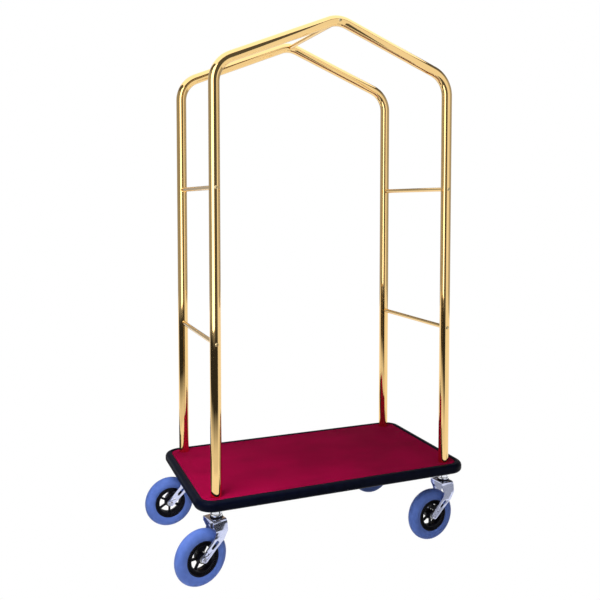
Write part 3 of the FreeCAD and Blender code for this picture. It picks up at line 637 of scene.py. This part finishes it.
def fork_line(crown_top):
    """The middle of the fork's sheet from the crown's centre down one leg, as (y, z)."""
    inner = SHEET / 2
    corners = [
        (0, crown_top - inner, 0),
        (CROWN_HALF - inner, crown_top - inner, 5 * MM),
        (CROWN_HALF - inner, CROWN_BEND, 4 * MM),
        (LEG_HALF - inner, LEG_BEND, 6 * MM),
        (LEG_HALF - inner, FORK_FOOT, 0),
        (0, FORK_FOOT, 0),
    ]
    return [Vector(point) for point in eased(corners, 6)[:-1]]


def run_at(line, lengths, height):
    """How far along the fork's sheet a height on the leg is."""
    for index in range(1, len(line)):
        one, two = line[index - 1], line[index]
        if one.y >= height >= two.y and one.y > two.y:
            share = (one.y - height) / (one.y - two.y)
            return lengths[index - 1] + (two - one).length * share
    return lengths[-1]


def on_sheet(line, lengths, run):
    """Point and outward direction of the fork's sheet at a run from the crown's centre."""
    side = 1 if run >= 0 else -1
    run = abs(run)
    index = 1
    while index < len(line) - 1 and lengths[index] < run:
        index += 1
    one, two = line[index - 1], line[index]
    along = (two - one).normalized()
    point = one + along * (run - lengths[index - 1])
    return Vector((0, side * point.x, point.y)), Vector((0, -side * along.y, along.x))


def fork_blank(name, trail, crown_top, height_run):
    """The fork's sheet before it is bent, X along the trail and Y along the sheet."""
    axle = WHEEL_RADIUS
    # corners in mm: distance along the trail, height, ease
    crown_front = [(-20, 220, 6), (-23, 204, 8), (-25, 178, 8), (-12, 150, 14)]
    foot = [(trail / MM - 2.5, axle / MM - 15, 11), (trail / MM + 15, axle / MM + 2.5, 11)]
    crown_back = [(25, 162, 10), (21, 180, 10), (32, 204, 5), (32, 220, 0)]
    near = []
    for x, z, ease in in_metres(crown_front + foot + crown_back):
        run = CROWN_HALF - SHEET if z > crown_top - SHEET else height_run(z)
        near.append((x, run, ease))
    far = [(x, -run, ease) for x, run, ease in reversed(near)]
    stem_gap, edge_ease = 0.05 * MM, 0.5 * MM
    slot_top, slot_foot, slot_radius = (47 * MM, 50 * MM), (31 * MM, 33 * MM), 5 * MM
    hole_reach, hole_rise, hole_radius = 15 * MM, 17 * MM, 2.75 * MM
    cuts = [eased(near + far, 6), round_hole(0, 0, STEM_BORE + stem_gap)]
    for side in (1, -1):
        ends = [(trail - reach, side * height_run(axle + rise))
                for reach, rise in (slot_top, slot_foot)]
        cuts.append(slot_outline(*ends, slot_radius))
        hole_run = side * height_run(axle + hole_rise)
        cuts.append(round_hole(trail - hole_reach, hole_run, hole_radius))
        cuts.append(round_hole(trail, side * height_run(axle), AXLE_BORE))
    return plate(name, cuts, SHEET, edge_ease)


def make_fork(name, place, trail, crown_top):
    """One formed sheet: a crown on the stem and a leg down each side of the wheel."""
    line = fork_line(crown_top)
    lengths = [0.0]
    for one, two in zip(line, line[1:]):
        lengths.append(lengths[-1] + (two - one).length)

    def height_run(height):
        return run_at(line, lengths, height)

    mesh = fork_blank(name, trail, crown_top, height_run)
    work = bmesh.new()
    work.from_mesh(mesh)
    for run in lengths[1:-1]:
        for side in (1, -1):
            geometry = work.verts[:] + work.edges[:] + work.faces[:]
            bmesh.ops.bisect_plane(work, geom=geometry, dist=0.001 * MM,
                                   plane_co=(0, side * run, 0), plane_no=BACK)
    for vert in work.verts:
        point, outward = on_sheet(line, lengths, vert.co.y)
        vert.co = place @ (point + Vector((vert.co.x, 0, 0)) + outward * vert.co.z)
    bmesh.ops.recalc_face_normals(work, faces=work.faces)
    work.to_mesh(mesh)
    work.free()
    return shaded(mesh, 30)


def slot_outline(top, foot, radius):
    """A slot with round ends at two points."""
    steps = 10
    turn = math.degrees(math.atan2(foot[1] - top[1], foot[0] - top[0]))
    return (arc(*foot, radius, turn - 90, turn + 90, steps)
            + arc(*top, radius, turn + 90, turn + 270, steps))


def make_tyre(name, place):
    """A round solid tyre: a fine parting line round the tread and rings on the sidewalls."""
    centre = WHEEL_RADIUS - TYRE_HALF
    bead = math.degrees(math.acos((centre - SEAT_RADIUS) / TYRE_HALF))
    groove_angles, groove_half, groove_depth = (62, 98), 3, 0.5 * MM
    parting_half, parting_rise = 1.5, 0.2 * MM
    steps = 96
    section = []
    for step in range(steps + 1):
        angle = bead - 180 + (360 - 2 * bead) * step / steps
        radius = TYRE_HALF - parting_rise * min(1, abs(angle) / parting_half)
        for groove in groove_angles:
            near = abs(abs(angle) - groove)
            radius -= groove_depth * max(0, 1 - near / groove_half)
        turn = math.radians(angle)
        section.append((centre + radius * math.cos(turn), radius * math.sin(turn)))
    return spun(name, section, place, 128, 50)


def mirrored(half_section):
    """A closed section from the part of it that lies above Z = 0."""
    return half_section + [(r, -z, ease) for r, z, ease in reversed(half_section)]


def in_metres(corners):
    """Corners (x, y, radius) from millimetres to metres."""
    return [(x * MM, y * MM, ease * MM) for x, y, ease in corners]


def make_rim(name, place, turn):
    """A moulded wheel centre: a ribbed outer ring, a web with six windows, and a hub."""
    place = place @ Matrix.Rotation(turn, 4, "Z")
    # corners in mm: radius, height from the middle plane, ease
    ring = mirrored([
        (41.5, 4, 0), (42.5, 16, 0.8), (44.5, 16, 0.8), (46, 10.5, 1), (55.5, 12.5, 1),
        (56.5, 17.6, 1), (59.5, 18.2, 0),
    ])
    hub = mirrored([(9, 11, 0), (13, 11, 0), (13, 19, 0.4), (15.8, 19, 1), (17.4, 4, 0)])
    # corners in mm: radius, distance across, ease
    window = eased(in_metres([(19, -7, 2), (39.5, -18.5, 3), (39.5, 18.5, 3), (19, 7, 2)]), 4)
    web_outer, web_inner, web_thickness, web_ease = 42 * MM, 16.8 * MM, 9 * MM, 0.8 * MM
    parts = [
        spun("ring", eased(in_metres(ring), 3), place, 120),
        spun("hub", eased(in_metres(hub), 3), place, 72),
    ]
    outlines = [round_hole(0, 0, web_outer, 96), round_hole(0, 0, web_inner, 48)]
    for step in range(6):
        spread = Matrix.Rotation(math.radians(60 * step), 2)
        outlines.append([tuple(spread @ Vector(point)) for point in window])
    web = plate("web", outlines, web_thickness, web_ease)
    web.transform(place)
    parts.append(web)
    rib_count = 60
    for side in (1, -1):
        for step in range(rib_count):
            spread = Matrix.Rotation(2 * math.pi * step / rib_count, 4, "Z")
            parts.append(rib(place @ spread, side))
    return merged(name, parts)


def rib(place, side):
    """A thin radial rib that bridges the rim's recess."""
    half = 0.6 * MM
    outline = [(44, 10.5), (56.5, 12), (56.5, 16.6), (44, 15.2)]
    rings = [[place @ Vector((radius * MM, across, side * width * MM))
              for radius, width in outline]
             for across in (-half, half)]
    return loft("rib", rings, 30)


def make_collar(name, place, low, high):
    """A turned collar with a flange at its foot and a chamfered top."""
    flange_radius, ease = 20.5 * MM, 0.8 * MM
    neck_radius, top_radius = flange_radius - 1.6 * MM, flange_radius - 3.2 * MM
    flange_top, neck_foot, neck_top = low + 7 * MM, low + 8.5 * MM, high - 3 * MM
    section = eased([
        (STEM_BORE, low, 0),
        (flange_radius, low, ease),
        (flange_radius, flange_top, ease),
        (neck_radius, neck_foot, ease),
        (neck_radius, neck_top, ease),
        (top_radius, high, 0.5 * MM),
        (STEM_BORE, high, 0),
    ], 3)
    return spun(name, section, place, 96)


def make_seal(name, place, low, high):
    """A rubber ring with a rounded lip between the collar and the fork."""
    radius, half = 22.5 * MM, (high - low) / 2
    face_radius, face_ease = radius - 1 * MM, half * 0.4
    section = eased([
        (STEM_BORE, low, 0),
        (face_radius, low, face_ease),
        (radius, low + half, half * 0.5),
        (face_radius, high, face_ease),
        (STEM_BORE, high, 0),
    ], 3)
    return spun(name, section, place, 96)


def axle_frame(wheel, along, far_side=False):
    """A frame on the axle's line, its Z outward from the wheel."""
    shift = wheel @ Matrix.Translation((0, 0, along))
    return shift @ Matrix.Rotation(math.pi, 4, "X") if far_side else shift


def make_axle_bolt(name, wheel):
    """A round-headed bolt through both legs, long enough to stand out of its nut."""
    head_diameter, head_height, nut_and_tip = 17 * MM, 4.5 * MM, 10 * MM
    length = 2 * LEG_HALF + nut_and_tip
    return domed_screw(name, axle_frame(wheel, LEG_HALF), head_diameter, head_height,
                       2 * AXLE_BORE, length)


def make_axle_nut(name, wheel):
    """The nut on the far leg."""
    width, height = 17 * MM, 6 * MM
    return hexagon_nut(name, axle_frame(wheel, -LEG_HALF, True), width, height)


def make_caster(corner):
    """All the pieces of one caster, each on the body that it moves with."""
    caster, wheel, trail, crown_top = caster_frames(corner)
    swivel, roll = f"{corner}_swivel", f"{corner}_wheel"
    collar_low, collar_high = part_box(f"{corner}_collar")
    seal_low, seal_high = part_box(f"{corner}_dust_seal")
    fork = make_fork(f"{corner}_fork_sheet", caster, trail, crown_top)
    bolt = make_axle_bolt(f"{corner}_axle", wheel)
    nut = make_axle_nut(f"{corner}_nut", wheel)
    tyre = make_tyre(f"{corner}_tread", wheel)
    rim = make_rim(f"{corner}_wheel_centre", wheel, WHEEL_TURNS.get(corner, 0))
    collar = make_collar(f"{corner}_top_collar", caster, collar_low.z, collar_high.z)
    seal = make_seal(f"{corner}_seal_ring", caster, seal_low.z, seal_high.z)
    for mesh, part, body, slot in (
        (fork, "fork", swivel, "zinc_plate"),
        (bolt, "axle_bolt", swivel, "bolt_zinc"),
        (nut, "axle_nut", swivel, "bolt_zinc"),
        (tyre, "tyre", roll, "tyre_rubber"),
        (rim, "rim", roll, "rim_plastic"),
        (collar, "collar", "cart", "chrome"),
        (seal, "dust_seal", "cart", "seal_rubber"),
    ):
        piece(mesh.name, mesh, f"{corner}_{part}", body, slot)


# --- stage, light and camera ------------------------------------------------------


def make_card(name, points, greys):
    """A flat studio card that only reflections see. greys are (height, radiance) stops."""
    mesh = shape(name, points, [(0, 1, 2, 3)])
    made = bpy.data.materials.new(name)
    made.use_nodes = True
    tree = made.node_tree
    tree.nodes.clear()
    place = node(tree, "TexCoord")
    axes = node(tree, "SeparateXYZ")
    tree.links.new(place.outputs["Object"], axes.inputs["Vector"])
    glow = node(tree, "Emission", {"Strength": 1.0})
    tree.links.new(ramp(tree, axes.outputs["Z"], greys), glow.inputs["Color"])
    out = node(tree, "OutputMaterial")
    tree.links.new(glow.outputs["Emission"], out.inputs["Surface"])
    mesh.materials.append(made)
    card = bpy.data.objects.new(name, mesh)
    bpy.context.scene.collection.objects.link(card)
    card.visible_camera = False
    card.visible_diffuse = False
    card.visible_shadow = False


def upright_card(name, left, right, greys):
    """A standing card between two plan points."""
    height = 2.5
    points = [Vector((*left, 0)), Vector((*right, 0)), Vector((*right, height)),
              Vector((*left, height))]
    make_card(name, points, greys)


def rectangle(low, high, height):
    """The four corners of a level rectangle between two opposite plan points."""
    plan = ((low[0], low[1]), (high[0], low[1]), (high[0], high[1]), (low[0], high[1]))
    return [Vector((x, y, height)) for x, y in plan]


def level_card(name, low, high, height, grey):
    """A flat-lying card of one grey."""
    make_card(name, rectangle(low, high, height), [(0, grey), (1, grey)])


def make_floor():
    """A white floor that the camera sees as plain white, with no shadow or horizon."""
    half = 6.0
    mesh = shape("studio_floor", rectangle((-half, -half), (half, half), 0), [(0, 1, 2, 3)])
    made, tree, shader = surface("floor_paint", {"Roughness": 0.9, "Specular IOR Level": 0.1})
    shader.inputs["Base Color"].default_value = (0.9, 0.9, 0.9, 1)
    seen = node(tree, "Emission", {"Color": (1, 1, 1, 1), "Strength": 1.0})
    path = node(tree, "LightPath")
    mix = node(tree, "MixShader")
    out = tree.nodes["Material Output"]
    tree.links.new(path.outputs["Is Diffuse Ray"], mix.inputs["Fac"])
    tree.links.new(seen.outputs["Emission"], mix.inputs[1])
    tree.links.new(shader.outputs["BSDF"], mix.inputs[2])
    tree.links.new(mix.outputs["Shader"], out.inputs["Surface"])
    mesh.materials.append(made)
    floor = bpy.data.objects.new("studio_floor", mesh)
    bpy.context.scene.collection.objects.link(floor)


def make_softbox(name, place, target, width, height, radiance, mirrored_too=True):
    """A rectangular area light of even radiance."""
    light = bpy.data.lights.new(name, "AREA")
    light.shape = "RECTANGLE"
    light.size, light.size_y = width, height
    light.energy = radiance * math.pi * width * height
    box = bpy.data.objects.new(name, light)
    bpy.context.scene.collection.objects.link(box)
    box.location = place
    aim = Vector(target) - Vector(place)
    box.rotation_euler = aim.to_track_quat("-Z", "Y").to_euler()
    box.visible_camera = False
    box.visible_glossy = mirrored_too


def make_world():
    """White to the camera, soft and even as light, and darker overhead to reflections."""
    room_greys = [(0.35, 0.42), (0.55, 0.12)]
    world = bpy.data.worlds.new("studio")
    bpy.context.scene.world = world
    world.use_nodes = True
    tree = world.node_tree
    tree.nodes.clear()
    seen = node(tree, "Background", {"Color": (1, 1, 1, 1), "Strength": 1.0})
    cast = node(tree, "Background", {"Color": (0.96, 0.98, 1, 1), "Strength": 0.26})
    mirrored_room = node(tree, "Background", {"Strength": 1.0})
    place = node(tree, "TexCoord")
    axes = node(tree, "SeparateXYZ")
    tree.links.new(place.outputs["Generated"], axes.inputs["Vector"])
    greys = ramp(tree, axes.outputs["Z"], room_greys)
    tree.links.new(greys, mirrored_room.inputs["Color"])
    path = node(tree, "LightPath")
    by_gloss, by_camera = node(tree, "MixShader"), node(tree, "MixShader")
    out = node(tree, "OutputWorld")
    tree.links.new(path.outputs["Is Glossy Ray"], by_gloss.inputs["Fac"])
    tree.links.new(cast.outputs["Background"], by_gloss.inputs[1])
    tree.links.new(mirrored_room.outputs["Background"], by_gloss.inputs[2])
    tree.links.new(path.outputs["Is Camera Ray"], by_camera.inputs["Fac"])
    tree.links.new(by_gloss.outputs["Shader"], by_camera.inputs[1])
    tree.links.new(seen.outputs["Background"], by_camera.inputs[2])
    tree.links.new(by_camera.outputs["Shader"], out.inputs["Surface"])


def make_camera():
    """The camera stands and looks as the photograph's did."""
    downward, turned_right = math.radians(2.89), math.radians(21.84)
    lens = bpy.data.cameras.new("camera")
    lens.sensor_width = 36
    lens.lens = 43.73
    lens.shift_y = -0.1
    camera = bpy.data.objects.new("camera", lens)
    bpy.context.scene.collection.objects.link(camera)
    camera.location = (-1.0885, -2.5995, 1.2816)
    camera.rotation_euler = (math.radians(90) - downward, 0, -turned_right)
    bpy.context.scene.camera = camera


def make_lights():
    """Soft light from the left, and the cards whose reflections draw the tubes' stripes; one
    near-black card on the floor paints shade into those reflections.

    A softbox has its place, target, width, height and radiance. A card has two plan points and
    its greys, where 1 is as bright as the white floor.
    """
    make_softbox("left_softbox", (-1.1, -0.9, 1.6), (0, 0, 1.6), 0.85, 1.8, 2.4)
    make_softbox("rear_fill", (0.9, 1.8, 0.45), (0, 0, 0.2), 1.8, 0.7, 2.6, mirrored_too=False)
    make_softbox("deck_key", (-0.85, -0.5, 1.2), (-0.4, 0, 0.3), 0.6, 0.6, 13.0,
                 mirrored_too=False)
    foot_greys = [(0.1, 0.8), (0.3, 0.03), (0.6, 0.03)]
    upright_card("middle_card", (-0.78, -1.25), (0.27, -1.22), foot_greys + [(0.75, 0.1)])
    upright_card("right_card", (0.27, -1.2), (1.4, -1.2), [(0, 0.95), (1, 0.95)])
    level_card("top_card", (-1.3, -1.2), (1.3, 2.2), 2.7, 1.35)
    left_greys = foot_greys + [(0.7, 0.34)]
    upright_card("left_card", (-1.95, 1.4), (-1.6, -0.6), left_greys)
    upright_card("left_low_card", (-1.6, -0.6), (-0.78, -1.25), left_greys)
    # painted shade: a near-black card on the floor in front of the cart, seen only in reflections,
    # stands in for shade on the floor there
    level_card("front_floor_shade_card", (-0.9, -0.85), (0.35, -0.5), MM, 0.02)
    level_card("right_floor_card", (0.45, -0.9), (1.2, -0.4), MM, 0.45)
    level_card("rear_left_floor_card", (-1.6, 0.12), (-0.6, 1.5), MM, 0.05)


# --- the scene --------------------------------------------------------------------

make_camera()
dress_cad_nodes()
for hoop in ("front_hoop", "rear_hoop"):
    piece(f"{hoop}_tube", make_hoop(hoop), hoop, "cart", "polished_brass")
piece("rod_screw_set", make_rod_screws(), "rod_screws", "cart", "screw_steel")
piece("bumper_ring", make_bumper(), "bumper", "cart", "bumper_rubber")
mat = piece("carpet_mat", make_carpet(), "carpet", "cart", "carpet")
for corner_name in CORNERS:
    make_caster(corner_name)
make_floor()
make_world()
make_lights()
bpy.context.scene.view_settings.view_transform = "Standard"
